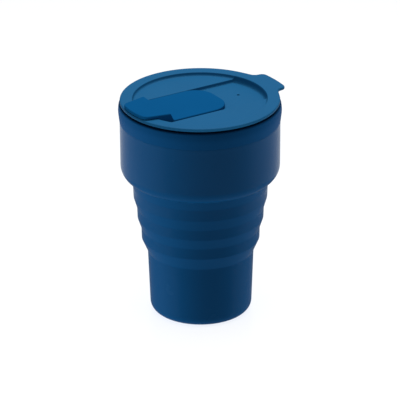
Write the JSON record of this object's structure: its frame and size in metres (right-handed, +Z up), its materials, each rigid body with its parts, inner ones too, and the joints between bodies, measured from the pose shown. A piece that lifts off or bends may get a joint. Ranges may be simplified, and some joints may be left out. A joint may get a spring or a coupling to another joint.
{
  "type": "collapsible travel cup",
  "caption": "Tapered travel cup whose silicone rings fold down into each other, with a stiff rim collar and a press-in lid with a lifting tab and a sliding drinking closure.",
  "frame": {"origin": "centre of the base's flat underside, on the cup's axis", "axes": "+Z up along the cup's axis; -Y towards the drinking side of the lid, +Y towards its lifting tab; X is across the lid, which is the same on both sides of the YZ plane"},
  "size_m": [0.0918, 0.0965, 0.1304],
  "materials": {
    "silicone_body": "satin navy silicone",
    "rim_plastic": "satin navy moulded plastic",
    "lid_plastic": "fine matte blue moulded plastic",
    "slider_plastic": "fine matte deep blue moulded plastic",
    "seal_silicone": "soft dark blue silicone"
  },
  "bodies": {
    "base_body": {"base_cup": "silicone_body", "fold_web_4": "silicone_body"},
    "ring_3_body": {"ring_3": "silicone_body", "fold_web_3": "silicone_body"},
    "ring_2_body": {"ring_2": "silicone_body", "fold_web_2": "silicone_body"},
    "ring_1_body": {"ring_1": "silicone_body", "fold_web_1": "silicone_body"},
    "rim_body": {"upper_band": "silicone_body", "rim_collar": "rim_plastic"},
    "lid_body": {"lid": "lid_plastic", "lid_gasket": "seal_silicone"},
    "slider_body": {"slider": "slider_plastic", "slider_retainer": "slider_plastic", "slider_seal": "seal_silicone"}
  },
  "joints": [
    {"name": "fold_4", "type": "slide", "parent": "base_body", "child": "ring_3_body", "axis": [0, 0, -1], "range_m": [0, 0.0154], "deforming": ["fold_web_4"]},
    {"name": "fold_3", "type": "slide", "parent": "ring_3_body", "child": "ring_2_body", "axis": [0, 0, -1], "range_m": [0, 0.0126], "deforming": ["fold_web_3"]},
    {"name": "fold_2", "type": "slide", "parent": "ring_2_body", "child": "ring_1_body", "axis": [0, 0, -1], "range_m": [0, 0.013], "deforming": ["fold_web_2"]},
    {"name": "fold_1", "type": "slide", "parent": "ring_1_body", "child": "rim_body", "axis": [0, 0, -1], "range_m": [0, 0.0127], "deforming": ["fold_web_1"]},
    {"name": "lid_lift", "type": "slide", "parent": "rim_body", "child": "lid_body", "axis": [0, 0, 1], "range_m": [0, 0.03]},
    {"name": "slider_travel", "type": "slide", "parent": "lid_body", "child": "slider_body", "axis": [0, 1, 0], "range_m": [0, 0.02]}
  ]
}
